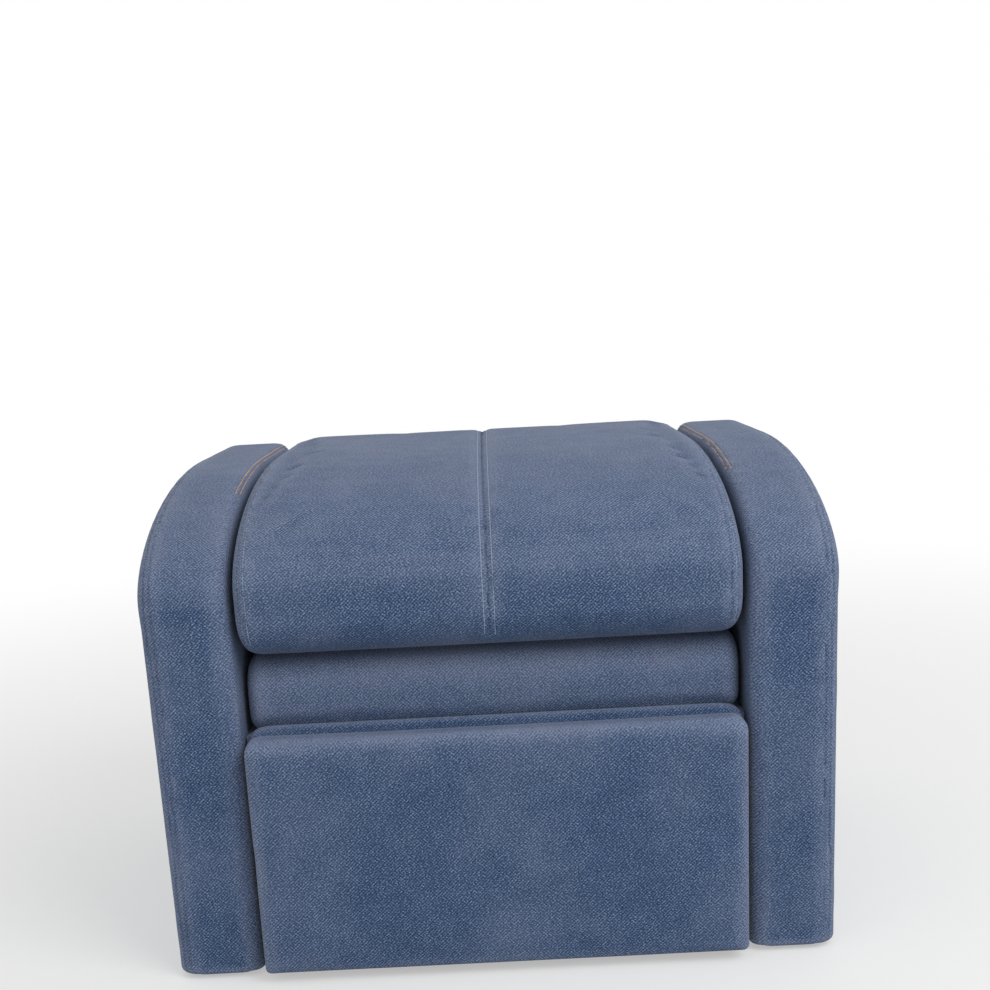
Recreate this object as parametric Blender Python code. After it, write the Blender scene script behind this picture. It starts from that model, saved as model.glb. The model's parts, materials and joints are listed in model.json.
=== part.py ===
"""A small child's recliner, packed flat: the backrest lies folded forward on the seat, the footrest is shut.

Millimetre sizes are written in metres. X runs to the chair's right as it is seen from the front, Y from
front to rear, and Z up. The origin is on the floor under the middle of the chair.
"""

import math

import bmesh
import bpy
from mathutils import Matrix

for old_object in list(bpy.data.objects):
    bpy.data.objects.remove(old_object, do_unlink=True)

# Longest straight run of a side outline before it is split
pad_run = 0.030
slab_run = 0.060

# Clearances
gap = 0.0003  # between parts that touch or are fastened to each other
running_gap = 0.0005  # between flat steel parts that slide past each other
hole_play = 0.0003  # added to a pin's or screw's radius for its hole
fold_gap = 0.0010  # between the seat and the backrest lying on it
cushion_play = 0.0030  # between an arm and the cushion beside it
cut_overlap = 0.0010  # how far one cut runs into the next
past = 0.0050  # how far a drill or cutter runs past the face it opens
flap_play = 0.0010  # between an arm and the footrest beside it

# Arms
overall_width = 0.500
arm_width = 0.063
arm_front_y = -0.190
arm_rear_y = 0.205
arm_roll_depth = 0.233
arm_roll_height = 0.069  # the upright front face starts to roll over this far below the top
arm_rear_radius = 0.030
arm_edge_radius = 0.010
glide_height = 0.0037
glide_radius = 0.009
glide_inset = 0.045

# Wooden frame
panel_thickness = 0.015
panel_recess = 0.0005  # the panel's inner face lies this far inside the arm's
panel_top_z = 0.250
arm_front_foam = 0.025
arm_rear_foam = 0.015
rail_bottom_z = 0.145
rail_height = 0.0373
rail_thickness = 0.0207
side_rail_rear_y = 0.178
cross_rail_thickness = 0.014
cross_rail_height = 0.0128
front_board_play = 0.004  # between the board under the front rail and the footrest's brackets
deck_thickness = 0.005
deck_rear_y = 0.126
stretcher_bottom_z = 0.012
stretcher_height = 0.033
stretcher_thickness = 0.018
front_stretcher_setback = 0.030  # from the arm's front face
dust_cover_thickness = 0.0010

# Rear apron
apron_clearance = 0.004  # under the lowest place of the drive rods
apron_board_thickness = 0.009
apron_pad_thickness = 0.0142
apron_setback = 0.0015  # the cover's face lies this far inside the arm's rear face
apron_edge_radius = 0.005
apron_end_radius = 0.004

# Seat cushion
seat_thickness = 0.0606
seat_setback = 0.022  # the seat's front edge lies this far behind the arm's front face
seat_rear_bottom_y = 0.140
seat_rear_top_y = 0.1485
seat_nose_radius = 0.026
largest_nose = 0.45  # of the seat's thickness
lower_nose = 0.8  # the front edge's lower radius against its upper one
seat_corner_radius = 0.010
seat_end_radius = 0.008
seat_crown = 0.0012
seat_notch_y = 0.134  # the rear corners are cut off for the hinges
notch_play = 0.004

# Backrest cushion
back_thickness = 0.1295  # lying folded, it fills the arms up to their tops
back_overhang = 0.006  # past the arm's front face
back_rear_y = 0.192
back_face_height = 0.0505  # the upright front face, under the roll
back_roll_depth = 0.225
back_nose_radius = 0.022
back_rear_radius = 0.030
back_heel_radius = 0.013
wedge_clearance = 0.0177  # from the main pivot to the slanting cut of the lower end
back_end_radius = 0.012
back_crown = 0.0050
crown_rise = 0.030  # over this height the front face swells to its full crown
crown_fall = 0.060  # over this length the crown ends at the rear
crown_end_setback = 0.010
back_seam_depth = 0.0045
back_seam_width = 0.0120
side_pull = 0.0025  # how far a cushion's sides draw in between its corners

# Backrest frame
back_frame_rise = 0.0505  # above the cushion's underside
back_frame_thickness = 0.025
stile_width = 0.0224
stile_front_setback = 0.041
back_rail_width = 0.022
stile_rear_setback = 0.006
bottom_rail_setback = 0.017
bracket_arm = 0.080  # from the main pivot forward along the stile
bracket_strip = 0.019
bracket_screw_pitch = 0.0450

# Footrest
footrest_proud = 0.015  # in front of the arm's front face
footrest_pad_thickness = 0.0197
footrest_top_z = 0.195
footrest_bottom_z = 0.006
footrest_edge_radius = 0.009
footrest_end_radius = 0.007
footrest_crown = 0.0020
board_thickness = 0.012
board_margin = 0.006
hinge_space = 0.0032  # between the board and the front rail, for the two hinge leaves
leaf_thickness = 0.0009
leaf_height = 0.018
knuckle_radius = 0.0030
knuckle_lift = 0.0019  # over the deck
knuckle_count = 9
hinge_half_length = 0.145
hinge_pin_radius = 0.0011
leaf_drop = 0.0006  # from the knuckles down to the leaves
board_play = 0.0015  # between the knuckles and the board's top edge

# Recline mechanism
recline_travel = math.radians(35)
fold_travel = math.radians(100)
footrest_travel = math.radians(75)
pivot_y = 0.165
pivot_drop = 0.0075  # below the backrest's underside
crank_radius = 0.085
crank_hub_radius = 0.013
crank_end_radius = 0.008
crank_thickness = 0.0028
hinge_plate_thickness = 0.0025
hinge_hub_radius = 0.014
hinge_foot_radius = 0.008
hinge_foot_rise = 0.010  # over the side rail's underside
hinge_foot_front_y = 0.1355
hinge_foot_rear_y = 0.170
link_thickness = 0.0027
rod_height = 0.010
rod_eye_radius = 0.008
main_pin_radius = 0.004
main_head_radius = 0.007
pin_radius = 0.003
pin_head_radius = 0.0055
pin_head_thickness = 0.0022
tube_radius = 0.006
tube_arm = 0.045  # from the main pivot to the torque tube
ratchet_radius = 0.0155
ratchet_width = 0.0069
slot_wall = 0.004
slot_side_play = 0.001
slot_end_play = 0.0005
bracket_flange_thickness = 0.002
bracket_flange_width = 0.030
bracket_flange_height = 0.050
bracket_flange_drop = 0.002  # below the front rail
bracket_lug_radius = 0.0075
bracket_shoulder = 0.0045  # how far the bracket's root reaches over its pin's lowest place
slot_head_radius = 0.0065  # the footrest pin's head covers the slot it slides in
prong_margin = 0.010

# Fasteners
screw_radius = 0.0022
bracket_screw_length = 0.0165
bolt_radius = 0.003
bolt_head_radius = 0.0065
bolt_head_thickness = 0.003
front_bolt_setback = 0.045

# Places that follow from the sizes above
inner_x = overall_width / 2 - arm_width
arm_bottom_z = glide_height + gap
panel_x = (inner_x + panel_recess, inner_x + panel_recess + panel_thickness)
panel_y = (arm_front_y + arm_front_foam + gap, arm_rear_y - arm_rear_foam - gap)
rail_x = (panel_x[0] - gap - rail_thickness, panel_x[0] - gap)
rail_z = (rail_bottom_z, rail_bottom_z + rail_height)
deck_z = (rail_z[1] + gap, rail_z[1] + gap + deck_thickness)
seat_z = (deck_z[1] + gap, deck_z[1] + gap + seat_thickness)
back_bottom_z = seat_z[1] + fold_gap
arm_top_z = back_bottom_z + back_thickness
arm_face_top_z = arm_top_z - arm_roll_height

footrest_front_y = arm_front_y - footrest_proud
board_y = (footrest_front_y + footrest_pad_thickness + gap,
           footrest_front_y + footrest_pad_thickness + gap + board_thickness)
front_rail_y = (board_y[1] + hinge_space, board_y[1] + hinge_space + cross_rail_thickness)
footrest_pivot = ((board_y[1] + front_rail_y[0]) / 2, deck_z[1] + knuckle_lift + knuckle_radius)

# The steel parts lie side by side across the chair, from the side rail inwards.
hinge_plate_x = (rail_x[0] - gap - hinge_plate_thickness, rail_x[0] - gap)
crank_x = (hinge_plate_x[0] - running_gap - crank_thickness, hinge_plate_x[0] - running_gap)
link_x = (crank_x[0] - running_gap - link_thickness, crank_x[0] - running_gap)
ratchet_x = (link_x[0] - gap - ratchet_width, link_x[0] - gap)
main_head_x = (ratchet_x[0] - gap - pin_head_thickness, ratchet_x[0] - gap)
foot_bracket_x = (link_x[0] - running_gap - link_thickness, link_x[0] - running_gap)

main_pivot = (pivot_y, back_bottom_z - pivot_drop)
half_recline = recline_travel / 2
half_footrest = footrest_travel / 2
footrest_radius = crank_radius * math.sin(half_recline) / math.sin(half_footrest)


def polar(centre, radius, angle):
    """A point at this radius, with the angle counted from straight down towards the rear."""
    return (centre[0] + radius * math.sin(angle), centre[1] - radius * math.cos(angle))


crank_lug = polar(main_pivot, crank_radius, half_recline)
rod_lowest_z = main_pivot[1] - crank_radius - rod_eye_radius
apron_top_z = rod_lowest_z - apron_clearance
bracket_flange_top_z = rail_z[0] - bracket_flange_drop
bracket_flange_bottom_z = bracket_flange_top_z - bracket_flange_height
tube_centre = polar(main_pivot, tube_arm, half_recline)
footrest_lug = polar(footrest_pivot, footrest_radius, half_footrest)
# Mid-way the footrest's pin dips further than the rod does, and its slot takes up the difference.
pin_dip = footrest_radius * (1 - math.cos(half_footrest)) - crank_radius * (1 - math.cos(half_recline))


# Finishes
def finish(name, colour, roughness, metallic=0.0):
    made = bpy.data.materials.new(name)
    made.use_nodes = True
    shader = made.node_tree.nodes["Principled BSDF"]
    shader.inputs["Base Color"].default_value = (*colour, 1.0)
    shader.inputs["Roughness"].default_value = roughness
    shader.inputs["Metallic"].default_value = metallic
    return made


denim = finish("denim", (0.085, 0.118, 0.185), 0.9)
plywood = finish("plywood", (0.56, 0.42, 0.26), 0.7)
zinc_steel = finish("zinc_steel", (0.55, 0.55, 0.56), 0.35, 1.0)
black_steel = finish("black_steel", (0.03, 0.03, 0.032), 0.45, 0.6)
black_cambric = finish("black_cambric", (0.02, 0.02, 0.022), 0.95)
black_plastic = finish("black_plastic", (0.02, 0.02, 0.02), 0.4)


# Moving bodies: an empty on each joint's axis carries the parts that turn with it.
def joint_empty(name, centre, parent=None):
    empty = bpy.data.objects.new(name, None)
    bpy.context.collection.objects.link(empty)
    empty.location = (0.0, *centre)
    if parent:
        empty.parent = parent
        empty.location = (0.0, centre[0] - parent["y"], centre[1] - parent["z"])
    empty["y"], empty["z"] = centre
    return empty


crank_axis = joint_empty("recline_axis", main_pivot)
back_axis = joint_empty("back_fold_axis", main_pivot, crank_axis)
footrest_axis = joint_empty("footrest_axis", footrest_pivot)
rod_axes = {side: joint_empty(side + "_rod_axis", crank_lug, crank_axis) for side in ("left", "right")}


def hang(made, axis):
    """Puts an object's origin on its joint's axis, with its shape left where it is."""
    if axis:
        made.data.transform(Matrix.Translation((0.0, -axis["y"], -axis["z"])))
        made.parent = axis
    return made


def add_mesh(name, shape, material, axis=None):
    """Makes one object of a bmesh that is written in the chair's own frame."""
    bmesh.ops.remove_doubles(shape, verts=shape.verts, dist=1e-6)
    bmesh.ops.recalc_face_normals(shape, faces=shape.faces)
    mesh = bpy.data.meshes.new(name)
    shape.to_mesh(mesh)
    shape.free()
    mesh.shade_smooth()
    mesh.set_sharp_from_angle(angle=math.radians(35))
    made = bpy.data.objects.new(name, mesh)
    bpy.context.collection.objects.link(made)
    if material:
        made.data.materials.append(material)
    return hang(made, axis)


# Shapes. A span is a pair (low, high).
def add_box(shape, x, y, z):
    corners = [shape.verts.new((i, j, k)) for i in x for j in y for k in z]
    for face in ((0, 1, 3, 2), (4, 6, 7, 5), (0, 4, 5, 1), (2, 3, 7, 6), (0, 2, 6, 4), (1, 5, 7, 3)):
        shape.faces.new([corners[i] for i in face])


def add_prism(shape, outline, span, place):
    """Sweeps a flat outline of (a, b) points along a span; place turns (a, b, along) into x, y and z."""
    rings = [[shape.verts.new(place(a, b, along)) for a, b in outline] for along in span]
    shape.faces.new(rings[0])
    shape.faces.new(list(reversed(rings[1])))
    count = len(outline)
    for i in range(count):
        j = (i + 1) % count
        shape.faces.new((rings[0][i], rings[1][i], rings[1][j], rings[0][j]))


def across(y, z, x):
    return (x, y, z)


def upward(x, y, z):
    return (x, y, z)


def rearward(x, z, y):
    return (x, y, z)


def circle(centre, radius, count=20):
    turns = [2 * math.pi * i / count for i in range(count)]
    return [(centre[0] + radius * math.cos(t), centre[1] + radius * math.sin(t)) for t in turns]


def hull(points):
    """The convex outline round some points."""
    ordered = sorted(set(points))

    def chain(run):
        kept = []
        for p in run:
            while len(kept) > 1 and ((kept[-1][0] - kept[-2][0]) * (p[1] - kept[-2][1])
                                     <= (kept[-1][1] - kept[-2][1]) * (p[0] - kept[-2][0])):
                kept.pop()
            kept.append(p)
        return kept[:-1]

    return chain(ordered) + chain(list(reversed(ordered)))


def strap(*discs):
    """The outline of a flat link round discs given as (centre, radius)."""
    return hull([p for centre, radius in discs for p in circle(centre, radius, 24)])


def solid_box(name, x, y, z, material, axis=None):
    shape = bmesh.new()
    add_box(shape, x, y, z)
    return add_mesh(name, shape, material, axis)


def solid_plate(name, outline, x, material, axis=None):
    shape = bmesh.new()
    add_prism(shape, outline, x, across)
    return add_mesh(name, shape, material, axis)


def combine(target, operation, tools):
    """Each tool is a function that draws one closed shape in a bmesh, in the chair's own frame."""
    for tool in tools:
        shape = bmesh.new()
        tool(shape)
        number = len(target.modifiers)
        helper = add_mesh("%s_tool_%d" % (target.name, number), shape, None, target.parent)
        helper.hide_render = True
        helper.display_type = "WIRE"
        step = target.modifiers.new("tool_%d" % number, "BOOLEAN")
        step.operation = operation
        step.solver = "EXACT"
        step.object = helper


def cut(target, *tools):
    combine(target, "DIFFERENCE", tools)


def weld(target, *tools):
    combine(target, "UNION", tools)


def drill_x(centre, radius, x):
    return lambda shape: add_prism(shape, circle(centre, radius), x, across)


def drill_y(centre, radius, y):
    return lambda shape: add_prism(shape, circle(centre, radius, 16), y, rearward)


def box_tool(x, y, z):
    return lambda shape: add_box(shape, x, y, z)


def plate_tool(outline, x):
    return lambda shape: add_prism(shape, outline, x, across)


# Outlines with round corners
def rounded(corners, longest=pad_run):
    """Fillets a convex outline given as (y, z, radius), and splits its long straight runs."""
    points = []
    count = len(corners)
    for i in range(count):
        y, z, radius = corners[i]
        before, after = corners[i - 1], corners[(i + 1) % count]
        if radius == 0:
            points.append((y, z))
            continue
        to_before = (before[0] - y, before[1] - z)
        to_after = (after[0] - y, after[1] - z)
        length_a, length_b = math.hypot(*to_before), math.hypot(*to_after)
        a = (to_before[0] / length_a, to_before[1] / length_a)
        b = (to_after[0] / length_b, to_after[1] / length_b)
        opening = math.acos(max(-1.0, min(1.0, a[0] * b[0] + a[1] * b[1])))
        reach = radius / math.tan(opening / 2)
        middle = (a[0] + b[0], a[1] + b[1])
        middle_length = math.hypot(*middle)
        span = radius / math.sin(opening / 2)
        centre = (y + middle[0] / middle_length * span, z + middle[1] / middle_length * span)
        start = math.atan2(z + a[1] * reach - centre[1], y + a[0] * reach - centre[0])
        end = math.atan2(z + b[1] * reach - centre[1], y + b[0] * reach - centre[0])
        turn = (end - start + math.pi) % (2 * math.pi) - math.pi
        steps = max(2, round(abs(turn) / math.radians(22)))
        for k in range(steps + 1):
            at = start + turn * k / steps
            points.append((centre[0] + radius * math.cos(at), centre[1] + radius * math.sin(at)))
    return split_runs(points, longest)


def split_runs(points, longest):
    split = []
    for i, (y, z) in enumerate(points):
        next_y, next_z = points[(i + 1) % len(points)]
        pieces = max(1, math.ceil(math.hypot(next_y - y, next_z - z) / longest))
        split += [(y + (next_y - y) * k / pieces, z + (next_z - z) * k / pieces) for k in range(pieces)]
    return split


def roll_arc(front_y, face_top_z, depth, top_z, count):
    """A quarter ellipse, from the upright front face up and back onto the flat top."""
    turns = [math.pi / 2 * k / count for k in range(count + 1)]
    return [(front_y + depth * (1 - math.cos(t)), face_top_z + (top_z - face_top_z) * math.sin(t))
            for t in turns]


def corner_arc(centre, radius, start, end, count):
    turns = [math.radians(start + (end - start) * k / count) for k in range(count + 1)]
    return [(centre[0] + radius * math.cos(t), centre[1] + radius * math.sin(t)) for t in turns]


def inset_outline(outline, amount):
    """Moves each side of an outline inwards by this much; amount may differ from point to point."""
    count = len(outline)
    area = sum(outline[i][0] * outline[(i + 1) % count][1] - outline[(i + 1) % count][0] * outline[i][1]
               for i in range(count))
    turn = 1 if area > 0 else -1
    moved = []
    for i in range(count):
        before, here, after = outline[i - 1], outline[i], outline[(i + 1) % count]
        normals = []
        for p, q in ((before, here), (here, after)):
            length = math.hypot(q[0] - p[0], q[1] - p[1])
            normals.append((-(q[1] - p[1]) / length * turn, (q[0] - p[0]) / length * turn))
        both = (normals[0][0] + normals[1][0], normals[0][1] + normals[1][1])
        scale = 2 / (both[0] ** 2 + both[1] ** 2)
        by = amount[i] if isinstance(amount, list) else amount
        moved.append((here[0] + both[0] * scale * by, here[1] + both[1] * scale * by))
    return moved


def evenly(y, z):
    return 0.0


def sewn_pad(outline, half_width, end_radius, crown=0.0, puffed=evenly, seam=0.0, seam_width=0.0,
             centre_x=0.0):
    """An upholstered block: a side outline carried across the width, with soft ends and a crown.

    puffed(y, z) tells how much of the crown a point of the outline takes, from 0 to 1. A seam down the
    middle is drawn in by its own depth. The sides draw in between the corners by side_pull.
    """
    end_steps = 3
    inner = half_width - end_radius
    half = [inner + end_radius * math.sin(math.pi / 2 * k / end_steps) for k in range(end_steps + 1)]
    middle_count = 4
    first = seam_width if seam else 0.0
    middle = [first + (inner - first) * k / middle_count for k in range(middle_count)]
    if seam:
        middle = [0.0, seam_width / 3] + middle
    side = middle + half
    places = [-x for x in reversed(side) if x > 0] + side
    ys = [y for y, z in outline]
    mid_y, half_y = (min(ys) + max(ys)) / 2, (max(ys) - min(ys)) / 2
    shares = [puffed(y, z) for y, z in outline]
    shape = bmesh.new()
    rings = []
    for x in places:
        into_end = max(0.0, abs(x) - inner)
        edge = end_radius - math.sqrt(max(0.0, end_radius ** 2 - into_end ** 2))
        across_share = min(1.0, abs(x) / half_width)
        lift = crown * (1 - across_share ** 2)
        if seam and abs(x) < seam_width:
            lift -= seam * (1 - abs(x) / seam_width) ** 2
        inward = inset_outline(outline, [edge - lift * share for share in shares])
        ring = []
        for (y, z), (flat_y, flat_z) in zip(inward, outline):
            pull = side_pull * across_share ** 4 * (1 - ((flat_y - mid_y) / half_y) ** 2)
            ring.append(shape.verts.new((centre_x + x - math.copysign(pull, x), y, z)))
        rings.append(ring)
    count = len(outline)
    for left_ring, right_ring in zip(rings, rings[1:]):
        for i in range(count):
            j = (i + 1) % count
            shape.faces.new((left_ring[i], left_ring[j], right_ring[j], right_ring[i]))
    mid_z = sum(z for y, z in outline) / count
    for ring, sign in ((rings[0], -1), (rings[-1], 1)):
        middle_point = shape.verts.new((centre_x + sign * (half_width - side_pull), mid_y, mid_z))
        for i in range(count):
            shape.faces.new((ring[i], ring[(i + 1) % count], middle_point))
    return shape


# Arms: foam and denim over a wooden panel, open at the inner side and the bottom where the panel sits.
def arm_outline():
    rear_centre = (arm_rear_y - arm_rear_radius, arm_top_z - arm_rear_radius)
    outline = [(arm_front_y, arm_bottom_z)]
    outline += roll_arc(arm_front_y, arm_face_top_z, arm_roll_depth, arm_top_z, 12)
    outline += corner_arc(rear_centre, arm_rear_radius, 90, 0, 4)
    outline += [(arm_rear_y, arm_bottom_z)]
    return split_runs(outline, slab_run)


def build_arm(side, sign):
    centre = sign * (inner_x + arm_width / 2)
    shape = sewn_pad(arm_outline(), arm_width / 2, arm_edge_radius, centre_x=centre)
    pad = add_mesh(side + "_arm_pad", shape, denim)
    inside = (sign * (inner_x - past), sign * (panel_x[1] + gap))
    cut(pad, box_tool(sorted(inside), (panel_y[0] - gap, panel_y[1] + gap), (-past, panel_top_z + gap)))
    panel_span = sorted((sign * panel_x[0], sign * panel_x[1]))
    panel = solid_box(side + "_arm_panel", panel_span, panel_y, (arm_bottom_z, panel_top_z), plywood)
    through = sorted((sign * (panel_x[0] - past), sign * (panel_x[1] + past)))
    cut(panel, *[drill_x(place, bolt_radius + hole_play, through) for place in bolt_places()])


def bolt_places():
    """The front bolt of a side rail, then the two that also hold its hinge plate."""
    foot = rail_z[0] + hinge_foot_rise
    return [(panel_y[0] + front_bolt_setback, sum(rail_z) / 2), (hinge_foot_front_y, foot),
            (hinge_foot_rear_y, foot)]


# Seat frame


def build_seat_frame():
    for side, sign in (("left", -1), ("right", 1)):
        span = sorted((sign * rail_x[0], sign * rail_x[1]))
        rail = solid_box(side + "_seat_rail", span, (panel_y[0], side_rail_rear_y), rail_z, plywood)
        through = (span[0] - past, span[1] + past)
        cut(rail, *[drill_x(place, bolt_radius + hole_play, through) for place in bolt_places()])
    end = rail_x[0] - gap
    low, high = rail_z[1] - cross_rail_height, rail_z[1]
    solid_box("front_seat_rail", (-end, end), front_rail_y, (low, high), plywood)
    board_end = foot_bracket_x[0] - front_board_play
    solid_box("front_hinge_board", (-board_end, board_end), front_rail_y, (rail_z[0], low - gap), plywood)
    rear_span = (deck_rear_y - cross_rail_thickness, deck_rear_y)
    solid_box("rear_seat_rail", (-end, end), rear_span, (low, high), plywood)
    deck_half = inner_x - gap
    solid_box("seat_deck", (-deck_half, deck_half), (front_rail_y[0] + gap, deck_rear_y), deck_z, plywood)


def build_base_frame():
    end = panel_x[0] - gap
    height = (stretcher_bottom_z, stretcher_bottom_z + stretcher_height)
    front = arm_front_y + front_stretcher_setback
    solid_box("front_stretcher", (-end, end), (front, front + stretcher_thickness), height, plywood)
    cover_rear = arm_rear_y - apron_setback
    board_rear = cover_rear - apron_pad_thickness - gap
    board_front = board_rear - apron_board_thickness
    stretcher_rear = board_front - gap
    solid_box("rear_stretcher", (-end, end), (stretcher_rear - stretcher_thickness, stretcher_rear),
              height, plywood)
    apron_half = end - gap
    solid_box("rear_apron_board", (-apron_half, apron_half), (board_front, board_rear),
              (stretcher_bottom_z, apron_top_z), plywood)
    r = apron_edge_radius
    outline = rounded([(board_rear + gap, stretcher_bottom_z, 0), (cover_rear, stretcher_bottom_z, r),
                       (cover_rear, apron_top_z, r), (board_rear + gap, apron_top_z, 0)])
    shape = sewn_pad(outline, inner_x - gap * 2, apron_end_radius)
    add_mesh("rear_apron_cover", shape, denim)
    cover_top = stretcher_bottom_z - gap
    solid_box("dust_cover", (-end + gap * 2, end - gap * 2), (front, stretcher_rear),
              (cover_top - dust_cover_thickness, cover_top), black_cambric)


def build_glides():
    middle = sum(panel_x) / 2
    for side, sign in (("left", -1), ("right", 1)):
        for end, y in (("front", arm_front_y + glide_inset), ("rear", arm_rear_y - glide_inset)):
            shape = bmesh.new()
            add_prism(shape, circle((sign * middle, y), glide_radius), (0.0, glide_height), upward)
            add_mesh("%s_%s_glide" % (side, end), shape, black_plastic)


# Bolts: the front ones hold a side rail to its arm, the others clamp the hinge plate as well.
def build_bolts():
    tip = panel_x[1] - gap
    for side, sign in (("left", -1), ("right", 1)):
        front, *hinge = bolt_places()
        bolt = bmesh.new()
        head = (sign * (rail_x[0] - gap - bolt_head_thickness), sign * (rail_x[0] - gap))
        add_stud(bolt, front, bolt_radius, bolt_head_radius, head, sign * tip)
        add_mesh(side + "_rail_bolt", bolt, zinc_steel)
        for end, place in zip(("front", "rear"), hinge):
            span = sorted((sign * hinge_plate_x[0], sign * tip))
            solid_plate("%s_%s_hinge_bolt" % (side, end), circle(place, bolt_radius), span, zinc_steel)


def add_stud(shape, centre, radius, head_radius, head, tip, count=20):
    """A headed pin along X: the head between two planes, then the shank on to its tip, as one solid."""
    rings = []
    for x, r in ((head[0], head_radius), (head[1], head_radius), (head[1], radius), (tip, radius)):
        rings.append([shape.verts.new((x, y, z)) for y, z in circle(centre, r, count)])
    for one, two in zip(rings, rings[1:]):
        for i in range(count):
            j = (i + 1) % count
            shape.faces.new((one[i], one[j], two[j], two[i]))
    shape.faces.new(rings[0])
    shape.faces.new(list(reversed(rings[-1])))


# Cushions
def build_seat_cushion():
    r = seat_corner_radius
    front = arm_front_y + seat_setback
    nose = min(seat_nose_radius, seat_thickness * largest_nose)
    slope = sum(seat_z) / 2
    outline = rounded([(front, seat_z[0], nose * lower_nose), (seat_rear_bottom_y, seat_z[0], r),
                       (seat_rear_top_y, slope, r), (seat_rear_top_y, seat_z[1] - seat_crown, r),
                       (front, seat_z[1] - seat_crown, nose)])

    def upper_part(y, z):
        return 1.0 if z > slope else 0.0

    shape = sewn_pad(outline, inner_x - cushion_play, seat_end_radius, seat_crown, upper_part)
    cushion = add_mesh("seat_cushion", shape, denim)
    notch_x = main_head_x[0] - notch_play
    cut(cushion, *[box_tool(sorted((sign * notch_x, sign * inner_x)), (seat_notch_y, pivot_y),
                            (seat_z[0] - past, seat_z[1] + past)) for sign in (-1, 1)])


def back_frame_z():
    low = back_bottom_z + back_frame_rise
    return (low, low + back_frame_thickness)


def wedge_corners():
    """The backrest's lower end is cut off aslant, along the hinge plates' edge where it swings furthest."""
    turn = recline_travel + fold_travel
    aside, along = (math.cos(turn), math.sin(turn)), (math.sin(turn), -math.cos(turn))
    start = [main_pivot[i] + wedge_clearance * aside[i] for i in (0, 1)]
    to_rear, to_underside = (back_rear_y - start[0]) / along[0], (back_bottom_z - start[1]) / along[1]
    rear = (back_rear_y, start[1] + along[1] * to_rear)
    underside = (start[0] + along[0] * to_underside, back_bottom_z)
    cut_back = back_heel_radius * math.tan((math.pi - turn) / 2)
    bent = []
    for corner, before, after in ((rear, (0.0, 1.0), (-along[0], -along[1])), (underside, along, (-1.0, 0.0))):
        for share in (0.0, 0.5, 1.0):
            ends = [[corner[i] + step[i] * cut_back for i in (0, 1)] for step in (before, after)]
            eased = [corner[i] * 2 * share * (1 - share) + ends[0][i] * (1 - share) ** 2 + ends[1][i] * share ** 2
                     for i in (0, 1)]
            bent.append(tuple(eased))
    return bent


def build_backrest():
    front = arm_front_y - back_overhang
    nose, shoulder = back_nose_radius, back_rear_radius
    top = arm_top_z
    outline = corner_arc((front + nose, back_bottom_z + nose), nose, 270, 180, 4)
    outline += roll_arc(front, back_bottom_z + back_face_height, back_roll_depth, top, 12)
    outline += corner_arc((back_rear_y - shoulder, top - shoulder), shoulder, 90, 0, 4)
    outline += wedge_corners()
    outline = split_runs(outline, slab_run)

    def upper_part(y, z):
        rise = (z - back_bottom_z - nose) / crown_rise
        fall = (back_rear_y - crown_end_setback - y) / crown_fall
        return max(0.0, min(1.0, rise)) * max(0.0, min(1.0, fall))

    shape = sewn_pad(outline, inner_x - cushion_play, back_end_radius, back_crown, upper_part,
                     back_seam_depth, back_seam_width)
    cushion = add_mesh("backrest_cushion", shape, denim, back_axis)
    low, high = back_frame_z()
    stile_x = (link_x[0] - gap - stile_width, link_x[0] - gap)
    stile_y = (front + stile_front_setback, back_rear_y - stile_rear_setback)
    top_rail_y = (stile_y[0], stile_y[0] + back_rail_width)
    bottom_rail_y = (back_rear_y - bottom_rail_setback - back_rail_width, back_rear_y - bottom_rail_setback)
    tools = []
    for sign in (-1, 1):
        tools.append(box_tool(sorted((sign * (stile_x[0] - gap), sign * (stile_x[1] + gap))),
                              (stile_y[0] - gap, stile_y[1] + gap), (low - gap, high + gap)))
        tools.append(plate_tool(bracket_outline(gap), sorted((sign * (link_x[0] - cut_overlap),
                                                              sign * (link_x[1] + gap)))))
    reach = stile_x[0] + cut_overlap
    for span in (top_rail_y, bottom_rail_y):
        tools.append(box_tool((-reach, reach), (span[0] - gap, span[1] + gap), (low, high)))
    cut(cushion, *tools)
    for side, sign in (("left", -1), ("right", 1)):
        span = sorted((sign * stile_x[0], sign * stile_x[1]))
        stile = solid_box(side + "_back_stile", span, stile_y, (low, high), plywood, back_axis)
        screw_span = sorted((sign * (link_x[0] - bracket_screw_length - gap), sign * (stile_x[1] + past)))
        cut(stile, *[drill_x(p, screw_radius + hole_play, screw_span) for p in bracket_screw_places()])
    half = stile_x[0] - gap
    rail_height_z = (low + gap, high - gap)
    solid_box("back_top_rail", (-half, half), top_rail_y, rail_height_z, plywood, back_axis)
    solid_box("back_bottom_rail", (-half, half), bottom_rail_y, rail_height_z, plywood, back_axis)


def bracket_screw_places():
    middle = sum(back_frame_z()) / 2
    front = pivot_y - bracket_arm + bracket_strip / 2
    return [(front, middle), (front + bracket_screw_pitch, middle)]


def bracket_outline(extra):
    """A strip along the stile with a screw near each end, drawn down to the disc round the main pivot."""
    discs = [(place, bracket_strip / 2 + extra) for place in bracket_screw_places()]
    return strap(*discs, (main_pivot, ratchet_radius + extra))


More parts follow.
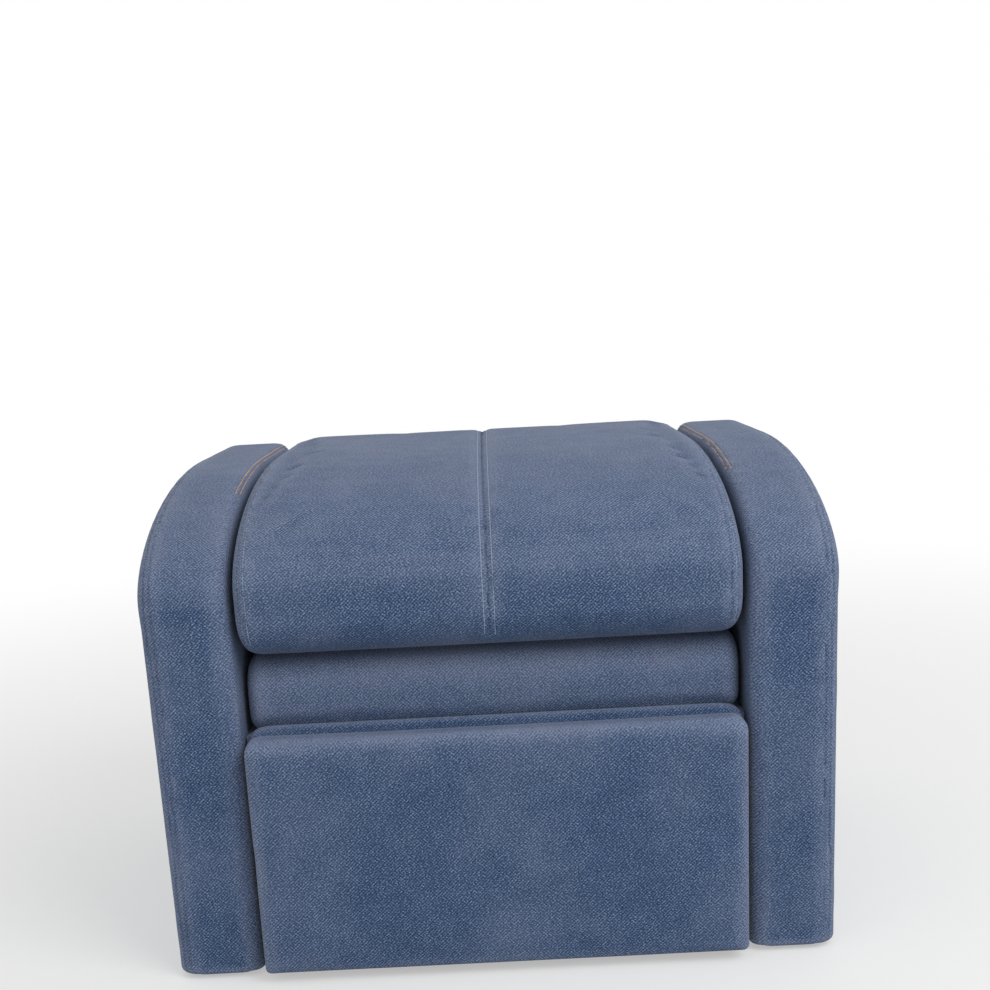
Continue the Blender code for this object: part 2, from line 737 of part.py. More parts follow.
def build_back_hardware():
    for side, sign in (("left", -1), ("right", 1)):
        span = sorted((sign * link_x[0], sign * link_x[1]))
        bracket = solid_plate(side + "_back_bracket", bracket_outline(0.0), span, black_steel, back_axis)
        through = (span[0] - past, span[1] + past)
        cut(bracket, drill_x(main_pivot, main_pin_radius + hole_play, through),
            *[drill_x(p, screw_radius + hole_play, through) for p in bracket_screw_places()])
        hub_span = sorted((sign * ratchet_x[0], sign * ratchet_x[1]))
        hub = solid_plate(side + "_ratchet_hub", circle(main_pivot, ratchet_radius, 32), hub_span,
                          black_steel, back_axis)
        cut(hub, drill_x(main_pivot, main_pin_radius + hole_play, (hub_span[0] - past, hub_span[1] + past)))
        for end, place in zip(("front", "rear"), bracket_screw_places()):
            screw = sorted((sign * link_x[1], sign * (link_x[0] - bracket_screw_length)))
            solid_plate("%s_%s_bracket_screw" % (side, end), circle(place, screw_radius, 16), screw,
                        zinc_steel, back_axis)


# Hinge plates, fixed to the side rails, and the main pins that turn in them with the cranks
def build_hinge_plates():
    height = rail_z[0] + hinge_foot_rise
    foot = hinge_foot_radius
    for side, sign in (("left", -1), ("right", 1)):
        span = sorted((sign * hinge_plate_x[0], sign * hinge_plate_x[1]))
        outline = strap(((hinge_foot_front_y, height), foot), ((hinge_foot_rear_y, height), foot),
                        (main_pivot, hinge_hub_radius))
        plate = solid_plate(side + "_hinge_plate", outline, span, black_steel)
        through = (span[0] - past, span[1] + past)
        cut(plate, drill_x(main_pivot, main_pin_radius + hole_play, through),
            *[drill_x(p, bolt_radius + hole_play, through) for p in bolt_places()[1:]])
        pin = bmesh.new()
        add_stud(pin, main_pivot, main_pin_radius, main_head_radius,
                 (sign * main_head_x[0], sign * main_head_x[1]), sign * hinge_plate_x[1])
        add_mesh(side + "_main_pin", pin, zinc_steel, crank_axis)


# Recline cranks: each turns on its main pin, and the torque tube makes the two turn as one.
def build_cranks():
    for side, sign in (("left", -1), ("right", 1)):
        span = sorted((sign * crank_x[0], sign * crank_x[1]))
        outline = strap((main_pivot, crank_hub_radius), (crank_lug, crank_end_radius))
        crank = solid_plate(side + "_recline_crank", outline, span, black_steel, crank_axis)
        through = (span[0] - past, span[1] + past)
        cut(crank, drill_x(main_pivot, main_pin_radius + hole_play, through),
            drill_x(crank_lug, pin_radius + hole_play, through))
        pin = bmesh.new()
        head = (sign * (link_x[0] - gap - pin_head_thickness), sign * (link_x[0] - gap))
        add_stud(pin, crank_lug, pin_radius, pin_head_radius, head, sign * crank_x[1])
        add_mesh(side + "_crank_pin", pin, zinc_steel, crank_axis)
    half = crank_x[0] - gap
    solid_plate("torque_tube", circle(tube_centre, tube_radius, 24), (-half, half), black_steel, crank_axis)


# Drive rods: flat bars from the crank pins to the footrest's pins, slotted at the front.
def slot_outline(radius, extra):
    """The slot, or the rod's end round it, with room for the pin's dip below its place at rest."""
    y, z = footrest_lug
    width = radius + slot_side_play + extra
    top = (y, z + slot_end_play + radius + extra - width)
    bottom = (y, z - pin_dip - slot_end_play - radius - extra + width)
    return strap((top, width), (bottom, width))


def build_rods():
    half = rod_height / 2
    for side, sign in (("left", -1), ("right", 1)):
        span = sorted((sign * link_x[0], sign * link_x[1]))
        axis = rod_axes[side]
        bar = hull(circle(crank_lug, half, 24) + circle(footrest_lug, half, 24))
        shape = bmesh.new()
        add_prism(shape, bar, span, across)
        rod = add_mesh(side + "_drive_rod", shape, zinc_steel, axis)
        weld(rod, drill_x(crank_lug, rod_eye_radius, span), plate_tool(slot_outline(pin_radius, slot_wall), span))
        through = (span[0] - past, span[1] + past)
        cut(rod, drill_x(crank_lug, pin_radius + hole_play, through),
            plate_tool(slot_outline(pin_radius, 0.0), through))


# Footrest: a padded board on a long hinge under the seat's front edge.
def prong_places():
    """Two prongs of each bracket's flange are driven into the board."""
    low, high = bracket_flange_bottom_z, bracket_flange_top_z
    x = foot_bracket_x[0] - bracket_flange_width / 2
    return [(x, low + prong_margin), (x, high - prong_margin)]


def build_footrest():
    rear = board_y[0] - gap
    front = footrest_front_y
    r = footrest_edge_radius
    outline = rounded([(rear, footrest_bottom_z, 0), (rear, footrest_top_z, 0), (front, footrest_top_z, r),
                       (front, footrest_bottom_z, r)])

    def face_part(y, z):
        height = footrest_top_z - footrest_bottom_z
        share = 4 * (footrest_top_z - z) * (z - footrest_bottom_z) / height ** 2
        return min(1.0, 2 * share) if y < front + r else 0.0

    outline = [(y + footrest_crown if y < front + gap else y, z) for y, z in outline]
    shape = sewn_pad(outline, inner_x - flap_play, footrest_end_radius, footrest_crown, face_part)
    add_mesh("footrest_pad", shape, denim, footrest_axis)
    board_half = inner_x - flap_play - board_margin
    board_top = footrest_pivot[1] - knuckle_radius - board_play
    board = solid_box("footrest_board", (-board_half, board_half), board_y,
                      (footrest_bottom_z + board_margin, board_top), plywood, footrest_axis)
    through = (board_y[0] - past, board_y[1] + past)
    cut(board, *[drill_y((sign * x, z), screw_radius + hole_play, through)
                 for sign in (-1, 1) for x, z in prong_places()])
    build_footrest_brackets()
    build_piano_hinge()


def build_footrest_brackets():
    flange_y = (board_y[1] + gap, board_y[1] + gap + bracket_flange_thickness)
    for side, sign in (("left", -1), ("right", 1)):
        span = sorted((sign * foot_bracket_x[0], sign * foot_bracket_x[1]))
        top = footrest_pivot[1] - footrest_radius + bracket_shoulder
        root = [(flange_y[0], bracket_flange_bottom_z), (flange_y[1], bracket_flange_bottom_z), (flange_y[0], top)]
        outline = hull(root + circle(footrest_lug, bracket_lug_radius, 24))
        bracket = solid_plate(side + "_footrest_bracket", outline, span, black_steel, footrest_axis)
        flange_x = sorted((sign * (foot_bracket_x[0] - bracket_flange_width), sign * foot_bracket_x[1]))
        weld(bracket, box_tool(flange_x, flange_y, (bracket_flange_bottom_z, bracket_flange_top_z)),
             *[drill_y((sign * x, z), screw_radius, (board_y[0] + gap, sum(flange_y) / 2))
               for x, z in prong_places()])
        cut(bracket, drill_x(footrest_lug, pin_radius + hole_play, (span[0] - past, span[1] + past)))
        pin = bmesh.new()
        head = (sign * (link_x[1] + running_gap + pin_head_thickness), sign * (link_x[1] + running_gap))
        add_stud(pin, footrest_lug, pin_radius, slot_head_radius, head, sign * foot_bracket_x[0])
        add_mesh(side + "_footrest_pin", pin, zinc_steel, footrest_axis)


def build_piano_hinge():
    y, z = footrest_pivot
    top = z - knuckle_radius - leaf_drop
    base_y = (front_rail_y[0] - gap - leaf_thickness, front_rail_y[0] - gap)
    swing_y = (board_y[1] + gap, board_y[1] + gap + leaf_thickness)
    pitch = 2 * hinge_half_length / knuckle_count
    for name, leaf_y, first, axis in (("hinge_base_leaf", base_y, 0, None),
                                      ("hinge_swing_leaf", swing_y, 1, footrest_axis)):
        leaf = solid_box(name, (-hinge_half_length, hinge_half_length), leaf_y, (top - leaf_height, top),
                         zinc_steel, axis)
        knuckles = []
        for number in range(first, knuckle_count, 2):
            start = -hinge_half_length + number * pitch
            knuckles.append((start + gap, start + pitch - gap))
        weld(leaf, *[box_tool(span, leaf_y, (top - cut_overlap, z)) for span in knuckles],
             *[plate_tool(circle((y, z), knuckle_radius, 16), span) for span in knuckles])
        reach = hinge_half_length + past
        cut(leaf, plate_tool(circle((y, z), hinge_pin_radius + hole_play, 12), (-reach, reach)))
    solid_plate("hinge_pin", circle((y, z), hinge_pin_radius, 12), (-hinge_half_length, hinge_half_length),
                zinc_steel)


build_arm("left", -1)
build_arm("right", 1)
build_seat_frame()
build_base_frame()
build_glides()
build_bolts()
build_seat_cushion()
build_backrest()
build_back_hardware()
build_hinge_plates()
build_cranks()
build_rods()
build_footrest()
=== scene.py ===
import json
import math

import bmesh
import bpy
import numpy
from mathutils import Matrix, Vector


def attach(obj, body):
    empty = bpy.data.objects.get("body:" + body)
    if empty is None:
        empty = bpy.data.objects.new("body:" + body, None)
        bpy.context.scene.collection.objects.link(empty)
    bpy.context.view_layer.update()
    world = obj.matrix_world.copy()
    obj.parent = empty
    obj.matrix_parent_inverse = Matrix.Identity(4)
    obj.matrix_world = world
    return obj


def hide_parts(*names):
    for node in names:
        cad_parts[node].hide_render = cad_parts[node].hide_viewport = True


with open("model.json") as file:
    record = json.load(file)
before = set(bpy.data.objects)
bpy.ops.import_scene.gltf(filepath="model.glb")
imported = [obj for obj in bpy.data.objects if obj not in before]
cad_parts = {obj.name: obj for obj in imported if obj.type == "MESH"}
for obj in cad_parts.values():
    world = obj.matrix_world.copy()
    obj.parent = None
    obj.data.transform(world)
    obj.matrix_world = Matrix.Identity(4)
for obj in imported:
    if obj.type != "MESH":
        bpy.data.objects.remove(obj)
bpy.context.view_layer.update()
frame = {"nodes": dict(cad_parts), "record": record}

# Camera, at the photograph's place: a little above the chair, square to its front, and tipped 3 degrees. The
# chair is low in the photograph's frame, so the lens is shifted up.
lens_mm = 48.15
lens_shift_up = 0.1657
camera_place = (0.0072, -1.1179, 0.481)
camera_yaw = math.radians(0.29)
camera_pitch = math.radians(75.67)
camera_roll = math.radians(-3.0)

lens = bpy.data.cameras.new("camera")
lens.lens = lens_mm
lens.shift_y = lens_shift_up
camera = bpy.data.objects.new("camera", lens)
bpy.context.scene.collection.objects.link(camera)
camera.matrix_world = (Matrix.Translation(camera_place) @ Matrix.Rotation(camera_yaw, 4, "Z")
                       @ Matrix.Rotation(camera_pitch, 4, "X") @ Matrix.Rotation(camera_roll, 4, "Z"))
bpy.context.scene.camera = camera

# Floor and light: a pale studio floor, a soft box high on the right, a weaker one on the left, and an
# even surround. The surround shows white to the camera, and lights the chair less than that. The floor runs
# out into that white, and keeps the shadow round the chair.
floor_half = 6.0
floor_colour = "#F0F0EF"
floor_fleck = "#F4F4F3"
floor_near = 0.35  # up to here the floor glows least, and past the next it is all white
floor_far = 1.9
floor_glow = 0.42
surround_light = 0.60
white = 1.0
soft_boxes = (((1.30, -1.30, 1.75), 1.3, 23.0), ((-1.2, -1.6, 1.3), 1.2, 2.0))  # place, size in metres, watts
soft_box_aim = (0.0, 0.0, 0.2)


def linear(colour):
    """An sRGB colour written as #RRGGBB, as the linear values that the shaders take."""
    parts = [int(colour[i:i + 2], 16) / 255 for i in (1, 3, 5)]
    return [p / 12.92 if p <= 0.04045 else ((p + 0.055) / 1.055) ** 2.4 for p in parts] + [1.0]


def add_node(tree, kind, inputs=None, **settings):
    """Adds a node. An input given as a socket is linked, and any other is set."""
    node = tree.nodes.new(kind)
    for name, value in settings.items():
        setattr(node, name, value)
    for name, value in (inputs or {}).items():
        if isinstance(value, bpy.types.NodeSocket):
            tree.links.new(value, node.inputs[name])
        else:
            node.inputs[name].default_value = value
    return node


def new_finish(name):
    """An empty material, and the tree that its nodes go into."""
    made = bpy.data.materials.new(name)
    made.use_nodes = True
    made.node_tree.nodes.clear()
    return made, made.node_tree


bpy.ops.object.select_all(action="DESELECT")
bpy.ops.mesh.primitive_grid_add(x_subdivisions=8, y_subdivisions=8, size=2 * floor_half)
floor = bpy.context.object
floor.name = "studio_floor"
floor_finish, tree = new_finish("matt_studio_floor")
coords = add_node(tree, "ShaderNodeTexCoord")
grain = add_node(tree, "ShaderNodeTexNoise", {"Vector": coords.outputs["Object"], "Scale": 60.0})
tone = add_node(tree, "ShaderNodeMix", {"Factor": grain.outputs["Fac"], "A": linear(floor_colour),
                                        "B": linear(floor_fleck)}, data_type="RGBA")
shader = add_node(tree, "ShaderNodeBsdfPrincipled", {"Base Color": tone.outputs["Result"], "Roughness": 0.9})
away = add_node(tree, "ShaderNodeVectorMath", {0: coords.outputs["Object"]}, operation="LENGTH")
away = add_node(tree, "ShaderNodeMapRange", {"Value": away.outputs["Value"], "From Min": floor_near,
                                             "From Max": floor_far, "To Min": floor_glow, "To Max": 1.0},
                interpolation_type="SMOOTHSTEP")
ray = add_node(tree, "ShaderNodeLightPath")
share = add_node(tree, "ShaderNodeMath", {0: away.outputs["Result"], 1: ray.outputs["Is Camera Ray"]},
                 operation="MULTIPLY")
glow = add_node(tree, "ShaderNodeEmission", {"Color": (1.0, 1.0, 1.0, 1.0), "Strength": white})
blended = add_node(tree, "ShaderNodeMixShader", {0: share.outputs["Value"], 1: shader.outputs["BSDF"],
                                                 2: glow.outputs["Emission"]})
add_node(tree, "ShaderNodeOutputMaterial", {"Surface": blended.outputs["Shader"]})
floor.data.materials.append(floor_finish)

world = bpy.data.worlds.new("surround")
bpy.context.scene.world = world
world.use_nodes = True
tree = world.node_tree
tree.nodes.clear()
path = add_node(tree, "ShaderNodeLightPath")
seen = add_node(tree, "ShaderNodeMath", {0: path.outputs["Is Camera Ray"], 1: path.outputs["Is Glossy Ray"]},
                operation="MAXIMUM")
seen = add_node(tree, "ShaderNodeMath", {0: seen.outputs["Value"], 1: path.outputs["Is Transmission Ray"]},
                operation="MAXIMUM")
level = add_node(tree, "ShaderNodeMix", {"Factor": seen.outputs["Value"], "A": surround_light, "B": white})
sky = add_node(tree, "ShaderNodeBackground", {"Color": (1.0, 1.0, 1.0, 1.0), "Strength": level.outputs["Result"]})
add_node(tree, "ShaderNodeOutputWorld", {"Surface": sky.outputs["Background"]})

for number, (place, size, watts) in enumerate(soft_boxes):
    lamp = bpy.data.lights.new("soft_box_%d" % number, "AREA")
    lamp.size = size
    lamp.energy = watts
    box = bpy.data.objects.new(lamp.name, lamp)
    bpy.context.scene.collection.objects.link(box)
    box.location = place
    box.rotation_euler = (Vector(soft_box_aim) - Vector(place)).to_track_quat("-Z", "Y").to_euler()

bpy.context.scene.view_settings.view_transform = "Standard"

# Arms: foam on a plywood panel under a denim cover. A strip runs up the front, rolls over and goes back along
# the top. It is joined to the side panels at its edges, and stitched twice along the outer one and along the
# top of the inner one.
arm_inner_x = 0.18735
arm_outer_x = 0.2545
arm_front_y = -0.1885
arm_rear_y = 0.2040
arm_bottom_z = 0.0024
arm_top_z = 0.3775
arm_roll_depth = 0.238
arm_roll_height = 0.082
arm_rear_radius = 0.030
arm_inner_edge_radius = 0.0120
arm_outer_edge_radius = 0.0165
arm_reach = 0.0026
top_stitch_lines = (0.0065, 0.0110)  # from the arm's outer face
top_stitch_ends = (0.010, 0.19)  # above this height, and in front of this
top_stitch_draw = (0.0010, 0.0020)  # how deep the thread draws the cloth in, and how far aside
inner_stitch_lines = (0.0030, 0.0058)  # from its inner face
inner_stitch_above_z = 0.250
inner_stitch_y = (-0.085, 0.185)
inner_stitch_draw = (0.0007, 0.0020)

# All covers: how they are filled, stitched, worn pale, drawn paler and darker as painted light and shade, and
# coloured.
cover_voxel = 0.005
cover_pressure = 4.0
cover_steps = 20
cover_tuck = 0.0007
stitch_length = 0.0027
stitch_pitch = 0.0036
stitch_thickness = 0.0011
sharp_bend = 120.0  # the bend at which an edge is worn palest and a hollow gets its darkest painted shade, one over its radius in metres
bend_spread = 8  # how often the worn edges and the painted shade in hollows are evened out from point to point
cloth_turn = 0.78  # a face that looks further sideways than this has its cloth laid from the side
worn_and_lit_above = 0.30  # paler on what faces up: partly worn, partly painted top light
painted_shade_below = 0.60  # painted shade: darker on what faces down
denim_shade = "#1C2E4A"
denim_body = "#304A6E"
denim_light = "#4F6486"
denim_fleck = "#8293B0"
# the grey of faded and worn cloth, also used for painted top light and the seat's painted light
denim_faded_and_lit = "#73778A"
thread_pale = "#98A6BE"
thread_tan = "#D8AC80"


def denim():
    """Washed denim, a cotton twill: blue warp with pale weft between, in short slanting flecks.

    It is matt, with a short fuzz that lifts grazing light. It is worn paler on its edges, and paler on top partly
    as worn cloth and partly as painted top light. Painted shade darkens its hollows, what faces down, and pieces
    set low in the creases, and painted light makes the seat paler.
    """
    made, tree = new_finish("washed_denim_twill")
    coords = add_node(tree, "ShaderNodeTexCoord").outputs["Object"]
    cloth = add_node(tree, "ShaderNodeAttribute", attribute_name="cloth").outputs["Vector"]
    # Twill ribs are 0.9 mm apart in the real cloth, and drawn 1.9 mm apart to show as in the photograph. They
    # rise to the right, along the cloth as it is laid, and weaker ones cross them.
    terms = []
    for flip, share in ((-1.0, 0.27), (1.0, 0.17)):
        facing = add_node(tree, "ShaderNodeMapping", {"Vector": cloth, "Scale": (1.0, flip, 1.0)})
        rib = add_node(tree, "ShaderNodeTexWave", {"Vector": facing.outputs["Vector"], "Scale": 232.0,
                                                   "Distortion": 2.0, "Detail": 2.0, "Detail Scale": 1.5},
                       wave_type="BANDS", bands_direction="DIAGONAL")
        terms.append((rib.outputs["Fac"], share))
    # Flecks of weft, 1.1 mm wide and 1.5 mm long, in two slants that cross.
    for slant in (-45.0, 45.0):
        turned = add_node(tree, "ShaderNodeMapping", {"Vector": cloth, "Rotation": (0.0, 0.0, math.radians(slant)),
                                                      "Scale": (660.0, 900.0, 1.0)})
        fleck = add_node(tree, "ShaderNodeTexNoise", {"Vector": turned.outputs["Vector"], "Scale": 1.0,
                                                      "Detail": 1.0, "Roughness": 0.5})
        terms.append((fleck.outputs["Fac"], 0.90))
    # Fading in patches of 11 mm and 60 mm.
    for scale, share in ((90.0, 0.17), (16.0, 0.15)):
        patch = add_node(tree, "ShaderNodeTexNoise", {"Vector": coords, "Scale": scale, "Detail": 2.0})
        terms.append((patch.outputs["Fac"], share))
    # the worn-and-lit mark: worn pale edges, paler tops partly as painted top light, painted shade in hollows,
    # underneath and on pieces set low, and painted light on the seat
    paleness = add_node(tree, "ShaderNodeAttribute", attribute_name="wear_and_painted_light").outputs["Fac"]
    total = add_node(tree, "ShaderNodeMath", {0: paleness, 1: 0.30, 2: 0.5}, operation="MULTIPLY_ADD").outputs[0]
    for socket, share in terms:
        centred = add_node(tree, "ShaderNodeMath", {0: socket, 1: -0.5}, operation="ADD")
        total = add_node(tree, "ShaderNodeMath", {0: centred.outputs["Value"], 1: share, 2: total},
                         operation="MULTIPLY_ADD").outputs["Value"]
    ramp = add_node(tree, "ShaderNodeValToRGB", {"Fac": total})
    stops = ((0.20, denim_shade), (0.46, denim_body), (0.62, denim_light), (0.88, denim_fleck))
    band = ramp.color_ramp
    while len(band.elements) < len(stops):
        band.elements.new(0.5)
    for element, (place, colour) in zip(band.elements, stops):
        element.position = place
        element.color = linear(colour)
    # worn edges, painted top light and the seat's painted light also turn the cloth grey
    greyed_worn_and_lit = add_node(tree, "ShaderNodeMapRange", {"Value": paleness, "From Min": 0.0, "From Max": 0.45,
                                                   "To Min": 0.0, "To Max": 0.27})
    faded = add_node(tree, "ShaderNodeMapRange", {"Value": patch.outputs["Fac"], "From Min": 0.45,
                                                  "From Max": 0.75, "To Min": 0.0, "To Max": 0.16})
    grey = add_node(tree, "ShaderNodeMath", {0: greyed_worn_and_lit.outputs["Result"], 1: faded.outputs["Result"]},
                    operation="ADD", use_clamp=True)
    colour = add_node(tree, "ShaderNodeMix", {"Factor": grey.outputs["Value"], "A": ramp.outputs["Color"],
                                              "B": linear(denim_faded_and_lit)}, data_type="RGBA")
    bump = add_node(tree, "ShaderNodeBump", {"Height": total, "Distance": 0.0006, "Strength": 0.5})
    shader = add_node(tree, "ShaderNodeBsdfPrincipled", {
        "Base Color": colour.outputs["Result"], "Roughness": 0.92, "IOR": 1.45, "Sheen Weight": 0.10,
        "Sheen Roughness": 0.5, "Normal": bump.outputs["Normal"]})
    add_node(tree, "ShaderNodeOutputMaterial", {"Surface": shader.outputs["BSDF"]})
    return made


def thread(name, colour):
    """Twisted cotton thread, matt: the twist shows as slanting turns, 0.8 mm apart."""
    made, tree = new_finish(name)
    coords = add_node(tree, "ShaderNodeTexCoord").outputs["Object"]
    twist = add_node(tree, "ShaderNodeTexWave", {"Vector": coords, "Scale": 450.0, "Distortion": 1.0},
                     bands_direction="DIAGONAL")
    dark = [value * 0.72 for value in linear(colour)[:3]] + [1.0]
    tone = add_node(tree, "ShaderNodeMix", {"Factor": twist.outputs["Fac"], "A": dark, "B": linear(colour)},
                    data_type="RGBA")
    shader = add_node(tree, "ShaderNodeBsdfPrincipled", {"Base Color": tone.outputs["Result"], "Roughness": 0.8})
    add_node(tree, "ShaderNodeOutputMaterial", {"Surface": shader.outputs["BSDF"]})
    return made


def only(piece):
    """Selects one piece and makes it the active one."""
    bpy.ops.object.select_all(action="DESELECT")
    piece.select_set(True)
    bpy.context.view_layer.objects.active = piece


def block(name, x, y, z):
    """A cube at its size and place, with the place kept in its mesh."""
    bpy.ops.object.select_all(action="DESELECT")
    bpy.ops.mesh.primitive_cube_add(size=1.0, location=[sum(span) / 2 for span in (x, y, z)],
                                    scale=[span[1] - span[0] for span in (x, y, z)])
    bpy.ops.object.transform_apply(location=True, rotation=True, scale=True)
    piece = bpy.context.object
    piece.name = piece.data.name = name
    return piece


def pick(kind, test):
    """In edit mode, selects the vertices, edges or faces whose corners all pass a test on their place."""
    bpy.ops.mesh.select_all(action="DESELECT")
    bpy.ops.mesh.select_mode(type=kind)
    mesh = bmesh.from_edit_mesh(bpy.context.object.data)
    parts = {"VERT": mesh.verts, "EDGE": mesh.edges, "FACE": mesh.faces}[kind]
    for part in parts:
        corners = [part] if kind == "VERT" else part.verts
        if all(test(corner.co) for corner in corners):
            part.select_set(True)
    mesh.select_flush_mode()
    bmesh.update_edit_mesh(bpy.context.object.data)


def near(value, place):
    return abs(value - place) < 1e-5


def runs_across(edge):
    """Whether an edge spans most of the chair's width."""
    return abs(edge.verts[0].co.x - edge.verts[1].co.x) > 0.1


def roll_over(front_y, top_z, height, depth):
    """In edit mode, rounds a block's top front edge, then stretches the round to its depth."""
    pick("EDGE", lambda co: near(co.y, front_y) and near(co.z, top_z))
    bpy.ops.mesh.bevel(offset=height, segments=14, affect="EDGES")
    pick("VERT", lambda co: co.y < front_y + height - 1e-5)
    join = front_y + height
    bpy.ops.transform.resize(value=(1.0, depth / height, 1.0), center_override=(0.0, join, 0.0))


def soften_sides(sides, bottom_z):
    """In edit mode, rounds the edges of side faces at given places, each by its radius, but not at the bottom."""
    for side, radius in sides:
        pick("EDGE", lambda co: near(co.x, side))
        mesh = bmesh.from_edit_mesh(bpy.context.object.data)
        for edge in mesh.edges:
            if all(near(v.co.z, bottom_z) for v in edge.verts):
                edge.select_set(False)
        bmesh.update_edit_mesh(bpy.context.object.data)
        bpy.ops.mesh.bevel(offset=radius, segments=5, affect="EDGES")


def plump(piece, reach, kept):
    """Fills a cover with foam: cloth under a little pressure swells, no point further than reach.

    A point sinks in less than cover_tuck, so that the edges stay full. kept(place) brings a point back clear of
    what lies beside the pad.
    """
    only(piece)
    piece.data.remesh_voxel_size = cover_voxel
    bpy.ops.object.voxel_remesh()
    sewn = [(vertex.co.copy(), vertex.normal.copy()) for vertex in piece.data.vertices]
    cloth = piece.modifiers.new("cover", "CLOTH")
    cloth.settings.use_pressure = True
    cloth.settings.uniform_pressure_force = cover_pressure
    cloth.settings.effector_weights.gravity = 0.0
    cloth.point_cache.frame_end = cover_steps
    for step in range(1, cover_steps + 1):
        bpy.context.scene.frame_set(step)
    bpy.ops.object.modifier_apply(modifier=cloth.name)
    bpy.context.scene.frame_set(1)
    for vertex, (place, out) in zip(piece.data.vertices, sewn):
        move = vertex.co - place
        move += out * max(0.0, -cover_tuck - move.dot(out))
        if move.length > reach:
            move *= reach / move.length
        vertex.co = kept(place + move)
    smooth = piece.modifiers.new("smooth", "SUBSURF")
    smooth.levels = smooth.render_levels = 1
    bpy.ops.object.modifier_apply(modifier=smooth.name)
    bpy.ops.object.shade_smooth()


def sew(piece, x, depth, spread, runs):
    """Draws the cover in along a line at this x, and returns the line as a curve for its stitches.

    runs(place) says where the line is sewn.
    """
    only(piece)
    bpy.ops.object.mode_set(mode="EDIT")
    bpy.ops.mesh.select_mode(type="VERT")
    for aside in (-spread, spread, 0.0):
        bpy.ops.mesh.select_all(action="SELECT")
        bpy.ops.mesh.bisect(plane_co=(x + aside, 0.0, 0.0), plane_no=(1.0, 0.0, 0.0), threshold=1e-7)
    pick("EDGE", lambda co: abs(co.x - x) < 4e-6 and runs(co))
    bpy.ops.transform.shrink_fatten(value=-depth)
    bpy.ops.mesh.duplicate()
    bpy.ops.mesh.separate(type="SELECTED")
    bpy.ops.object.mode_set(mode="OBJECT")
    line = next(o for o in bpy.context.selected_objects if o is not piece)
    only(line)
    bpy.ops.object.convert(target="CURVE")
    line = bpy.context.object
    longest = max(line.data.splines, key=lambda spline: len(spline.points))
    for spline in [spline for spline in line.data.splines if spline != longest]:
        line.data.splines.remove(spline)
    return line


def stitch(name, lines, finish, body):
    """Lays one stitch after another along the lines and makes them one piece."""
    rows = []
    for line in lines:
        bpy.ops.object.select_all(action="DESELECT")
        bpy.ops.mesh.primitive_cylinder_add(vertices=6, radius=stitch_thickness / 2, depth=stitch_length,
                                            location=(stitch_length / 2, 0.0, 0.0),
                                            rotation=(0.0, math.pi / 2, 0.0))
        bpy.ops.object.transform_apply(location=True, rotation=True, scale=True)
        row = bpy.context.object
        bpy.ops.object.mode_set(mode="EDIT")
        pick("FACE", lambda co: near(co.x, 0.0))
        bpy.ops.mesh.inset(thickness=stitch_thickness / 5, depth=stitch_thickness / 4)
        pick("FACE", lambda co: near(co.x, stitch_length))
        bpy.ops.mesh.inset(thickness=stitch_thickness / 5, depth=stitch_thickness / 4)
        bpy.ops.object.mode_set(mode="OBJECT")
        repeat = row.modifiers.new("repeat", "ARRAY")
        repeat.fit_type = "FIT_CURVE"
        repeat.curve = line
        repeat.use_relative_offset = False
        repeat.use_constant_offset = True
        repeat.constant_offset_displace = (stitch_pitch, 0.0, 0.0)
        follow = row.modifiers.new("follow", "CURVE")
        follow.object = line
        bpy.ops.object.modifier_apply(modifier=repeat.name)
        bpy.ops.object.modifier_apply(modifier=follow.name)
        bpy.ops.object.shade_smooth()
        rows.append(row)
        bpy.data.objects.remove(line)
    only(rows[0])
    for row in rows:
        row.select_set(True)
    if len(rows) > 1:
        bpy.ops.object.join()
    made = bpy.context.object
    made.name = made.data.name = name
    made.data.materials.clear()
    made.data.materials.append(finish)
    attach(made, body)
    return made


def mark_wear_and_painted_light(piece, paleness=0.0):
    """Writes where the cover is drawn paler or darker: worn pale on edges that stand out, with painted shade in
    hollows, paler on what faces up, partly worn and partly as painted top light, and with painted shade on what
    faces down.

    The last argument is added all over: painted light on a piece drawn paler than the rest, painted shade on one
    drawn darker.
    """
    mesh = piece.data
    places = numpy.empty(len(mesh.vertices) * 3)
    normals = numpy.empty(len(mesh.vertices) * 3)
    ends = numpy.empty(len(mesh.edges) * 2, dtype=int)
    mesh.vertices.foreach_get("co", places)
    mesh.vertices.foreach_get("normal", normals)
    mesh.edges.foreach_get("vertices", ends)
    places, normals, ends = places.reshape(-1, 3), normals.reshape(-1, 3), ends.reshape(-1, 2)
    near_end, far_end = numpy.concatenate((ends, ends[:, ::-1])).T
    count = numpy.maximum(numpy.bincount(near_end, minlength=len(places)), 1)
    step = places[near_end] - places[far_end]
    reach = numpy.maximum((step ** 2).sum(axis=1), 1e-10)
    bend = 2.0 * (step * normals[near_end]).sum(axis=1) / reach
    # edges that stand out are worn pale, and hollows come out below nothing, as painted shade
    edge_wear_and_crease_shade = numpy.clip(numpy.bincount(near_end, bend, len(places)) / count / sharp_bend, -1.0, 1.0)
    for spread in range(bend_spread):
        edge_wear_and_crease_shade = (edge_wear_and_crease_shade + numpy.bincount(near_end, edge_wear_and_crease_shade[far_end], len(places)) / count) / 2
    up = normals[:, 2]
    # paler on what faces up, partly worn and partly painted top light; painted shade on what faces down
    wear_and_painted_light = edge_wear_and_crease_shade + worn_and_lit_above * numpy.clip(up, 0.0, 1.0) + painted_shade_below * numpy.clip(up, -1.0, 0.0)
    # painted light on a piece drawn paler all over, painted shade on one drawn darker
    wear_and_painted_light += paleness
    mesh.attributes.new("wear_and_painted_light", "FLOAT", "POINT").data.foreach_set("value", wear_and_painted_light.astype(numpy.float32))


